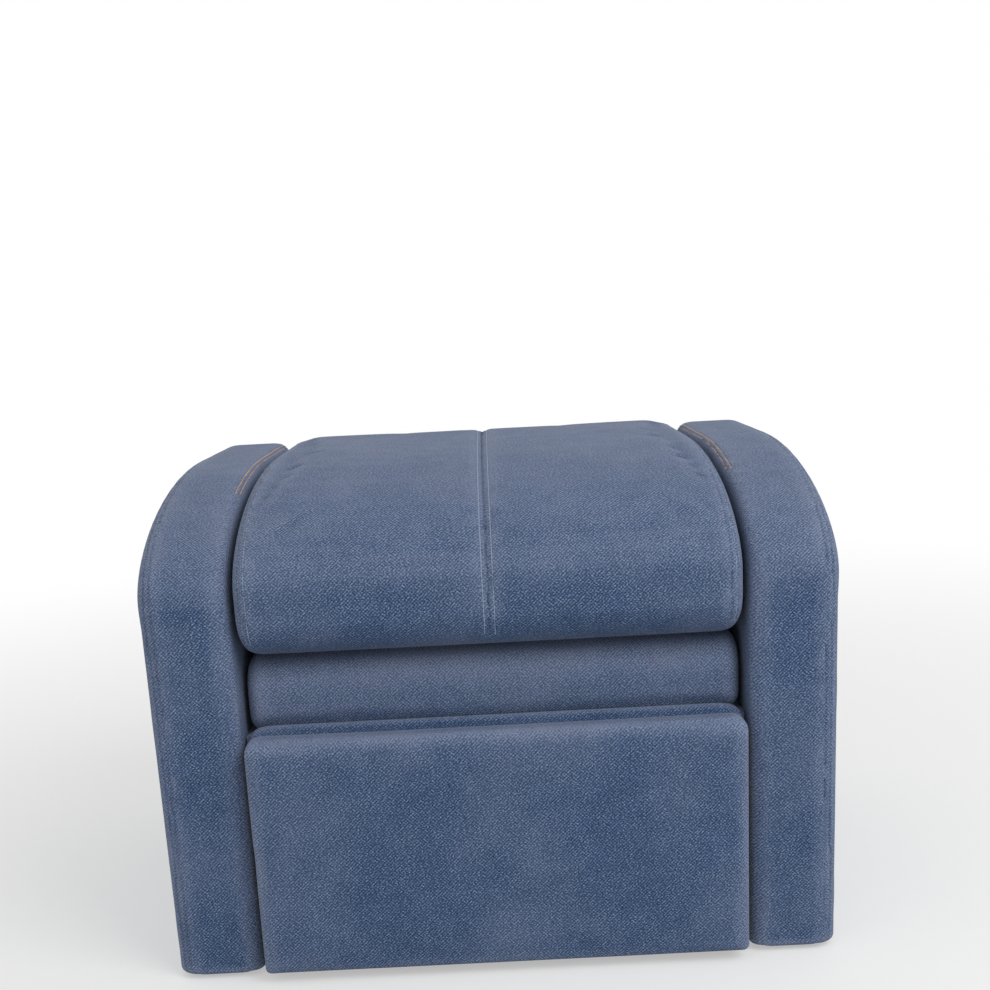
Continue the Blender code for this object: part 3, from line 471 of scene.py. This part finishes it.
def side_outline(piece):
    """A block's outline from the side, as the line that its cloth follows: up the front and over the top."""
    face = max(piece.data.polygons, key=lambda face: face.normal.x * face.area)
    corners = [piece.data.vertices[index].co for index in reversed(face.vertices)]
    first = min(range(len(corners)), key=lambda index: (round(corners[index].z, 4), corners[index].y))
    return [(corner.y, corner.z) for corner in corners[first:] + corners[:first + 1]]


def lay_cloth(piece, outline):
    """Writes where each face lies on its cloth: across the chair and along the outline, or flat on the sides.

    The side panels are cloths of their own, so the weave breaks off at their seams.
    """
    mesh = piece.data
    places = numpy.empty(len(mesh.vertices) * 3)
    normals = numpy.empty(len(mesh.polygons) * 3)
    corners = numpy.empty(len(mesh.polygons), dtype=int)
    points = numpy.empty(len(mesh.loops), dtype=int)
    mesh.vertices.foreach_get("co", places)
    mesh.polygons.foreach_get("normal", normals)
    mesh.polygons.foreach_get("loop_total", corners)
    mesh.loops.foreach_get("vertex_index", points)
    places, normals = places.reshape(-1, 3), normals.reshape(-1, 3)
    nearest = numpy.full(len(places), 1e9)
    along = numpy.zeros(len(places))
    run = 0.0
    for start, end in zip(numpy.array(outline), numpy.array(outline[1:])):
        length = math.dist(start, end)
        way = (end - start) / length
        share = numpy.clip((places[:, 1:] - start) @ way, 0.0, length)
        gap = ((places[:, 1:] - start - share[:, None] * way) ** 2).sum(axis=1)
        along = numpy.where(gap < nearest, run + share, along)
        nearest = numpy.minimum(gap, nearest)
        run += length
    across = numpy.stack((places[:, 0], along, numpy.zeros(len(places))), axis=1)[points]
    beside = numpy.stack((places[:, 1], places[:, 2], numpy.zeros(len(places))), axis=1)[points]
    side = numpy.repeat(abs(normals[:, 0]) > cloth_turn, corners)
    cloth = numpy.where(side[:, None], beside, across).astype(numpy.float32)
    mesh.attributes.new("cloth", "FLOAT_VECTOR", "CORNER").data.foreach_set("vector", cloth.ravel())


def dress(piece, finish, body, *nodes, outline, fill, paleness=0.0):
    """Gives a pad its cover's finish, and says what it rides on and stands for. fill is not used."""
    mark_wear_and_painted_light(piece, paleness)
    lay_cloth(piece, outline)
    piece.data.materials.clear()
    piece.data.materials.append(finish)
    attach(piece, body)
    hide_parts(*nodes)


def mirrored(piece, name):
    """A copy on the chair's other side, with its own mesh."""
    only(piece)
    bpy.ops.object.duplicate()
    copy = bpy.context.object
    copy.name = copy.data.name = name
    copy.data.transform(Matrix.Scale(-1.0, 4, (1.0, 0.0, 0.0)))
    bpy.ops.object.mode_set(mode="EDIT")
    bpy.ops.mesh.select_all(action="SELECT")
    bpy.ops.mesh.flip_normals()
    bpy.ops.object.mode_set(mode="OBJECT")
    return copy


washed_denim = denim()
pale_thread = thread("pale_cotton_thread", thread_pale)
tan_thread = thread("tan_cotton_thread", thread_tan)

# the block starts behind its front, because stretching the round brings it forward
arm_block_y = arm_front_y + arm_roll_depth - arm_roll_height
right_arm = block("right_arm", (arm_inner_x, arm_outer_x), (arm_block_y, arm_rear_y), (arm_bottom_z, arm_top_z))
bpy.ops.object.mode_set(mode="EDIT")
roll_over(arm_block_y, arm_top_z, arm_roll_height, arm_roll_depth)
pick("EDGE", lambda co: near(co.y, arm_rear_y) and near(co.z, arm_top_z))
bpy.ops.mesh.bevel(offset=arm_rear_radius, segments=5, affect="EDGES")
bpy.ops.object.mode_set(mode="OBJECT")
arm_outline = side_outline(right_arm)
bpy.ops.object.mode_set(mode="EDIT")
soften_sides(((arm_inner_x, arm_inner_edge_radius), (arm_outer_x, arm_outer_edge_radius)), arm_bottom_z)
bpy.ops.object.mode_set(mode="OBJECT")


def beside_seat(place):
    """The arm's inner face stays flat against its panel, and its bottom flat over the glides."""
    return Vector((max(place.x, arm_inner_x), place.y, max(place.z, arm_bottom_z)))


plump(right_arm, arm_reach, beside_seat)
left_arm = mirrored(right_arm, "left_arm")
for side, arm, sign in (("right", right_arm, 1), ("left", left_arm, -1)):
    lines = [sew(arm, sign * (arm_inner_x + inset), *inner_stitch_draw,
                 lambda co: co.z > inner_stitch_above_z and inner_stitch_y[0] < co.y < inner_stitch_y[1])
             for inset in inner_stitch_lines]
    stitch(side + "_arm_inner_stitching", lines, tan_thread, "base")
    lines = [sew(arm, sign * (arm_outer_x - inset), *top_stitch_draw,
                 lambda co: co.z > top_stitch_ends[0] and co.y < top_stitch_ends[1]) for inset in top_stitch_lines]
    stitch(side + "_arm_topstitching", lines, pale_thread, "base")
    dress(arm, washed_denim, "base", side + "_arm_pad", outline=arm_outline, fill=0.9)

# Backrest cushion, lying folded on the seat: one thick foam block, rolled over at the front like the arms. Its
# outside is two denim panels joined down the middle, with the seam pressed open and stitched on both sides.
back_half = 0.1842
back_front_y = -0.1945
back_rear_y = 0.1905
back_bottom_z = 0.2502
back_top_z = 0.3790
back_roll_depth = 0.225
back_roll_height = 0.0785
back_nose_radius = 0.032
back_shoulder_radius = 0.030
back_wedge = 0.0440
back_edge_radius = 0.014
back_reach = 0.0045
back_seam_depth = 0.0026
back_seam_width = 0.0100
back_seam_fade = (0.268, 0.318)  # it flattens towards the nose between these heights
seam_stitch_aside = 0.0038
edge_stitch_lines = (0.0060, 0.0100)
back_stitch_ends = (0.262, 0.185)  # above this height, and in front of this
seam_draw = (0.0012, 0.0016)
seam_stitch_draw = (0.0006, 0.0014)
edge_stitch_draw = (0.0009, 0.0018)
back_limit_x = 0.1858  # between the arms
back_limit_z = 0.2497  # over the seat

back_block_y = back_front_y + back_roll_depth - back_roll_height
backrest = block("backrest", (-back_half, back_half), (back_block_y, back_rear_y), (back_bottom_z, back_top_z))
bpy.ops.object.mode_set(mode="EDIT")
roll_over(back_block_y, back_top_z, back_roll_height, back_roll_depth)
pick("EDGE", lambda co: near(co.y, back_rear_y) and near(co.z, back_top_z))
bpy.ops.mesh.bevel(offset=back_shoulder_radius, segments=5, affect="EDGES")
pick("EDGE", lambda co: near(co.y, back_rear_y) and near(co.z, back_bottom_z))
bpy.ops.mesh.bevel(offset=back_wedge, segments=1, affect="EDGES")
pick("EDGE", lambda co: near(co.y, back_front_y) and near(co.z, back_bottom_z))
bpy.ops.mesh.bevel(offset=back_nose_radius, segments=8, affect="EDGES")
bpy.ops.object.mode_set(mode="OBJECT")
back_outline = side_outline(backrest)
bpy.ops.object.mode_set(mode="EDIT")
soften_sides(((-back_half, back_edge_radius), (back_half, back_edge_radius)), -1.0)
bpy.ops.object.mode_set(mode="OBJECT")


def between_arms(place):
    """The cushion's sides stay clear of the arms, and its underside clear of the seat."""
    side = max(-back_limit_x, min(back_limit_x, place.x))
    return Vector((side, place.y, max(place.z, back_limit_z)))


def on_outside(co):
    """Where the backrest's rows of stitches run: from its nose over its top, and not underneath."""
    return co.z > back_stitch_ends[0] and co.y < back_stitch_ends[1]


plump(backrest, back_reach, between_arms)
for vertex in backrest.data.vertices:
    aside = abs(vertex.co.x) / back_seam_width
    low, high = back_seam_fade
    share = min(1.0, max(0.0, (vertex.co.z - low) / (high - low)))
    if aside < 1.0:
        vertex.co -= vertex.normal * back_seam_depth * share * (1.0 - aside) ** 2
lines = [sew(backrest, x, *seam_stitch_draw, on_outside) for x in (-seam_stitch_aside, seam_stitch_aside)]
# the seam itself is drawn in too, and has no stitches on it
bpy.data.objects.remove(sew(backrest, 0.0, *seam_draw, lambda co: co.z > back_stitch_ends[0]))
lines += [sew(backrest, sign * (back_half - inset), *edge_stitch_draw, on_outside)
          for sign in (-1, 1) for inset in edge_stitch_lines]
stitch("backrest_topstitching", lines, pale_thread, "backrest")
dress(backrest, washed_denim, "backrest", "backrest_cushion", outline=back_outline, fill=0.8)

# Seat cushion: a foam slab with a round front edge, cut out at its rear corners for the hinges.
seat_half = 0.1846
seat_front_y = -0.1705
seat_rear_y = 0.1460
seat_bottom_z = 0.1885
seat_top_z = 0.2470
seat_nose_radius = 0.026
seat_lower_radius = 0.014
seat_edge_radius = 0.010
seat_notch_x = 0.1432
seat_notch_y = 0.1335
seat_reach = 0.0045
seat_painted_light = 0.22  # painted light: the whole seat cover is drawn paler, as its front bulges into the light
seat_limit_x = 0.1860
seat_limit_y = -0.1758  # above its hinge, the raised footrest passes in front of this
seat_limit_rear_y = 0.1490
seat_limit_z = (0.1880, 0.2484)  # over the deck, and under the folded backrest
hinge_clear_y = -0.1668  # low down, the strip over the hinge turns in front of this
hinge_clear_z = (0.197, 0.207)  # the change from the one limit to the other
notch_play = 0.0004
notch_far = 0.20  # the cut for a hinge reaches past the cushion, up to here
notch_z = (0.15, 0.28)

seat = block("seat", (-seat_half, seat_half), (seat_front_y, seat_rear_y), (seat_bottom_z, seat_top_z))
bpy.ops.object.mode_set(mode="EDIT")
pick("EDGE", lambda co: near(co.y, seat_front_y) and near(co.z, seat_top_z))
bpy.ops.mesh.bevel(offset=seat_nose_radius, segments=6, affect="EDGES")
pick("EDGE", lambda co: near(co.y, seat_front_y) and near(co.z, seat_bottom_z))
bpy.ops.mesh.bevel(offset=seat_lower_radius, segments=5, affect="EDGES")
bpy.ops.object.mode_set(mode="OBJECT")
seat_outline = side_outline(seat)
bpy.ops.object.mode_set(mode="EDIT")
soften_sides(((-seat_half, seat_edge_radius), (seat_half, seat_edge_radius)), -1.0)
bpy.ops.object.mode_set(mode="OBJECT")
for sign in (-1, 1):
    corner = block("corner", sorted((sign * seat_notch_x, sign * notch_far)), (seat_notch_y, notch_far), notch_z)
    only(seat)
    notch = seat.modifiers.new("notch", "BOOLEAN")
    notch.operation = "DIFFERENCE"
    notch.solver = "EXACT"
    notch.object = corner
    bpy.ops.object.modifier_apply(modifier=notch.name)
    bpy.data.objects.remove(corner)


def on_deck(place):
    """The cushion stays on the deck, between the arms, and clear of the hinges behind and in front of it."""
    side = max(-seat_limit_x, min(seat_limit_x, place.x))
    back = seat_limit_rear_y if abs(place.x) < seat_notch_x else seat_notch_y + notch_play
    low, high = hinge_clear_z
    share = min(1.0, max(0.0, (high - place.z) / (high - low)))
    front = seat_limit_y + share * (hinge_clear_y - seat_limit_y)
    bottom, top = seat_limit_z
    return Vector((side, max(front, min(back, place.y)), max(bottom, min(top, place.z))))


plump(seat, seat_reach, on_deck)
# painted light: the seat cover is drawn paler all over
dress(seat, washed_denim, "base", "seat_cushion", outline=seat_outline, fill=0.85, paleness=seat_painted_light)

# Deck wrap: a band of denim stapled over the deck's front, so no wood shows below the cushion. Outside the
# hinge it is turned down over the deck's front edge.
wrap_half = 0.1868
wrap_y = (-0.1700, -0.1150)
wrap_z = (0.18768, 0.18796)
wrap_flap_x = 0.1740
wrap_flap_bottom_z = 0.1795
wrap_flap_thickness = 0.0004
# painted shade: the whole band is drawn darker, as it lies low in the crease below the seat
wrap_painted_shade = -0.5

wrap = block("seat_deck_wrap", (-wrap_half, wrap_half), wrap_y, wrap_z)
flaps = [block("flap", sorted((sign * wrap_flap_x, sign * wrap_half)),
               (wrap_y[0], wrap_y[0] + wrap_flap_thickness), (wrap_flap_bottom_z, wrap_z[0])) for sign in (-1, 1)]
only(wrap)
bpy.ops.object.mode_set(mode="EDIT")
pick("EDGE", lambda co: near(co.y, wrap_y[0]) and near(co.z, wrap_z[1]))
bpy.ops.mesh.bevel(offset=(wrap_z[1] - wrap_z[0]) * 0.8, segments=2, affect="EDGES")
bpy.ops.object.mode_set(mode="OBJECT")
for flap in flaps:
    flap.select_set(True)
bpy.ops.object.join()
# painted shade: the band is drawn darker all over
mark_wear_and_painted_light(wrap, wrap_painted_shade)
lay_cloth(wrap, [(y, wrap_z[1]) for y in wrap_y])
wrap.data.materials.append(washed_denim)
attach(wrap, "base")

# Footrest: a padded board under denim, hinged below the seat's front edge.
foot_half = 0.1850
foot_front_y = -0.2035
foot_rear_y = -0.1856
foot_bottom_z = 0.0070
foot_top_z = 0.1940
foot_corner_radius = 0.010
foot_edge_radius = 0.0075
foot_reach = 0.0018
foot_limit_x = 0.1860  # between the arms
foot_limit_z = 0.0062  # over the floor

footrest = block("footrest", (-foot_half, foot_half), (foot_front_y, foot_rear_y), (foot_bottom_z, foot_top_z))
foot_outline = side_outline(footrest)
bpy.ops.object.mode_set(mode="EDIT")
pick("EDGE", lambda co: near(abs(co.x), foot_half) and near(co.z, foot_top_z))
mesh = bmesh.from_edit_mesh(footrest.data)
for edge in mesh.edges:
    if runs_across(edge):
        edge.select_set(False)
bmesh.update_edit_mesh(footrest.data)
bpy.ops.mesh.bevel(offset=foot_corner_radius, segments=5, affect="EDGES")
pick("EDGE", lambda co: near(co.y, foot_front_y))
bpy.ops.mesh.bevel(offset=foot_edge_radius, segments=4, affect="EDGES")
bpy.ops.object.mode_set(mode="OBJECT")


def on_board(place):
    """The pad's back stays flat on its board."""
    side = max(-foot_limit_x, min(foot_limit_x, place.x))
    return Vector((side, min(place.y, foot_rear_y), max(foot_limit_z, place.z)))


plump(footrest, foot_reach, on_board)
dress(footrest, washed_denim, "footrest", "footrest_pad", outline=foot_outline, fill=0.9)

# Strip over the footrest's hinge: a band of the same denim, stapled under the footrest's cover and lying over
# the hinge, so that neither the steel nor the boards show in the crease. It turns with the footrest.
strip_half = 0.1856
strip_drop = 0.0035  # its ends turn down over the board, outside the hinge
strip_turn_x = 0.1640
strip_corner_x = 0.1752  # past this they follow the footrest's round corners
strip_corner_radius = 0.0106
strip_end_rear_y = -0.1710  # and stay in front of the turned-down band on the deck
strip_end_turn = 0.003
strip_cuts = 140
strip_rise = 0.0067  # of its highest point over its front edge
# painted shade: the whole strip is drawn darker, as it lies in the crease below the seat
strip_painted_shade = -0.35
strip_thickness = 0.0008
strip_line = ((-0.1853, 0.1895), (-0.1825, 0.1898), (-0.1790, 0.1906), (-0.1765, 0.1925), (-0.1749, 0.1946),
              (-0.1731, 0.1958), (-0.1715, 0.1962), (-0.1700, 0.1961))

bpy.ops.object.select_all(action="DESELECT")
bpy.ops.mesh.primitive_plane_add(size=1.0)
strip = bpy.context.object
strip.name = strip.data.name = "footrest_hinge_strip"
bpy.ops.object.mode_set(mode="EDIT")
mesh = bmesh.from_edit_mesh(strip.data)
for vertex in mesh.verts:
    y, z = strip_line[1 if vertex.co.y > 0 else 0]
    vertex.co = (math.copysign(strip_half, vertex.co.x), y, z)
bmesh.update_edit_mesh(strip.data)
for (y, z), (last_y, last_z) in zip(strip_line[2:], strip_line[1:]):
    pick("EDGE", lambda co: near(co.y, last_y) and near(co.z, last_z))
    bpy.ops.mesh.extrude_edges_move(TRANSFORM_OT_translate={"value": (0.0, y - last_y, z - last_z)})
# only the edges that run across the chair are cut up
pick("EDGE", lambda co: True)
mesh = bmesh.from_edit_mesh(strip.data)
for edge in mesh.edges:
    edge.select_set(runs_across(edge))
bmesh.update_edit_mesh(strip.data)
bpy.ops.mesh.subdivide(number_cuts=strip_cuts)
bpy.ops.mesh.select_all(action="SELECT")
bpy.ops.mesh.normals_make_consistent(inside=False)
bpy.ops.object.mode_set(mode="OBJECT")
for vertex in strip.data.vertices:
    out = max(0.0, abs(vertex.co.x) - strip_turn_x) / (strip_half - strip_turn_x)
    vertex.co.z -= strip_drop * out * out * max(0.0, vertex.co.z - strip_line[0][1]) / strip_rise
    past = max(0.0, abs(vertex.co.x) - strip_corner_x)
    vertex.co.z -= strip_corner_radius - math.sqrt(strip_corner_radius ** 2 - past ** 2)
    behind = max(0.0, vertex.co.y - strip_end_rear_y)
    vertex.co.y -= behind * min(1.0, past / strip_end_turn)
cloth = strip.modifiers.new("thickness", "SOLIDIFY")
cloth.thickness = strip_thickness
cloth.offset = 0.0
bpy.ops.object.modifier_apply(modifier=cloth.name)
bpy.ops.object.shade_smooth_by_angle(angle=math.radians(50.0))
# painted shade: the strip is drawn darker all over
mark_wear_and_painted_light(strip, strip_painted_shade)
lay_cloth(strip, strip_line)
strip.data.materials.append(washed_denim)
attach(strip, "footrest")

# Rear apron: thin padding under denim on the board that closes the chair's back.
apron_half = 0.1855
apron_y = (0.1894, 0.2025)
apron_z = (0.0125, 0.1445)
apron_edge_radius = 0.0045
apron_reach = 0.0010

apron = block("rear_apron", (-apron_half, apron_half), apron_y, apron_z)
apron_outline = side_outline(apron)
bpy.ops.object.mode_set(mode="EDIT")
pick("EDGE", lambda co: near(co.y, apron_y[1]))
bpy.ops.mesh.bevel(offset=apron_edge_radius, segments=3, affect="EDGES")
bpy.ops.object.mode_set(mode="OBJECT")


def on_apron_board(place):
    """The cover's inside stays flat on its board."""
    return Vector((place.x, max(place.y, apron_y[0]), place.z))


plump(apron, apron_reach, on_apron_board)
dress(apron, washed_denim, "base", "rear_apron_cover", outline=apron_outline, fill=0.9)


# Wooden frame: plain birch plywood and softwood boards, sawn and sanded, left bare inside the cover.
def plywood():
    """Birch plywood: pale yellow faces with long fine grain, matt."""
    made, tree = new_finish("bare_birch_plywood")
    coords = add_node(tree, "ShaderNodeTexCoord").outputs["Object"]
    # Grain runs across the chair: 2 mm bands, drawn out 20 to 1.
    along = add_node(tree, "ShaderNodeMapping", {"Vector": coords, "Scale": (25.0, 500.0, 500.0)})
    grain = add_node(tree, "ShaderNodeTexNoise", {"Vector": along.outputs["Vector"], "Scale": 1.0, "Detail": 4.0})
    ramp = add_node(tree, "ShaderNodeValToRGB", {"Fac": grain.outputs["Fac"]})
    ramp.color_ramp.elements[0].position = 0.3
    ramp.color_ramp.elements[0].color = linear("#B8965F")
    ramp.color_ramp.elements[1].position = 0.7
    ramp.color_ramp.elements[1].color = linear("#D9BE8C")
    bump = add_node(tree, "ShaderNodeBump", {"Height": grain.outputs["Fac"], "Distance": 0.0003, "Strength": 0.4})
    shader = add_node(tree, "ShaderNodeBsdfPrincipled", {"Base Color": ramp.outputs["Color"], "Roughness": 0.7,
                                                         "Normal": bump.outputs["Normal"]})
    add_node(tree, "ShaderNodeOutputMaterial", {"Surface": shader.outputs["BSDF"]})
    return made


def metal(name, dark, light, metallic, roughness, scale, bumped):
    """Sheet metal: a base tone with a mottled finish in spots of 1 / scale metres."""
    made, tree = new_finish(name)
    coords = add_node(tree, "ShaderNodeTexCoord").outputs["Object"]
    mottle = add_node(tree, "ShaderNodeTexNoise", {"Vector": coords, "Scale": scale, "Detail": 3.0})
    tone = add_node(tree, "ShaderNodeMix", {"Factor": mottle.outputs["Fac"], "A": linear(dark),
                                            "B": linear(light)}, data_type="RGBA")
    bump = add_node(tree, "ShaderNodeBump", {"Height": mottle.outputs["Fac"], "Distance": bumped, "Strength": 0.3})
    shader = add_node(tree, "ShaderNodeBsdfPrincipled", {
        "Base Color": tone.outputs["Result"], "Metallic": metallic, "Roughness": roughness,
        "Normal": bump.outputs["Normal"]})
    add_node(tree, "ShaderNodeOutputMaterial", {"Surface": shader.outputs["BSDF"]})
    return made


finishes = {
    "denim": washed_denim,
    "plywood": plywood(),
    "zinc_steel": metal("bright_zinc_plate", "#8E9194", "#B9BCC0", 1.0, 0.34, 260.0, 0.0001),
    "black_steel": metal("black_stoved_paint", "#131415", "#1E1F21", 0.0, 0.42, 700.0, 0.0002),
    "black_cambric": metal("black_spunbond_cloth", "#101112", "#222326", 0.0, 0.95, 900.0, 0.0005),
    "black_plastic": metal("black_moulded_plastic", "#141414", "#1C1C1C", 0.0, 0.45, 1200.0, 0.0001),
}
for part in frame["record"]["subparts"]:
    node = frame["nodes"][part["node"]]
    for slot in node.material_slots:
        slot.material = finishes[part["material_slot"]]
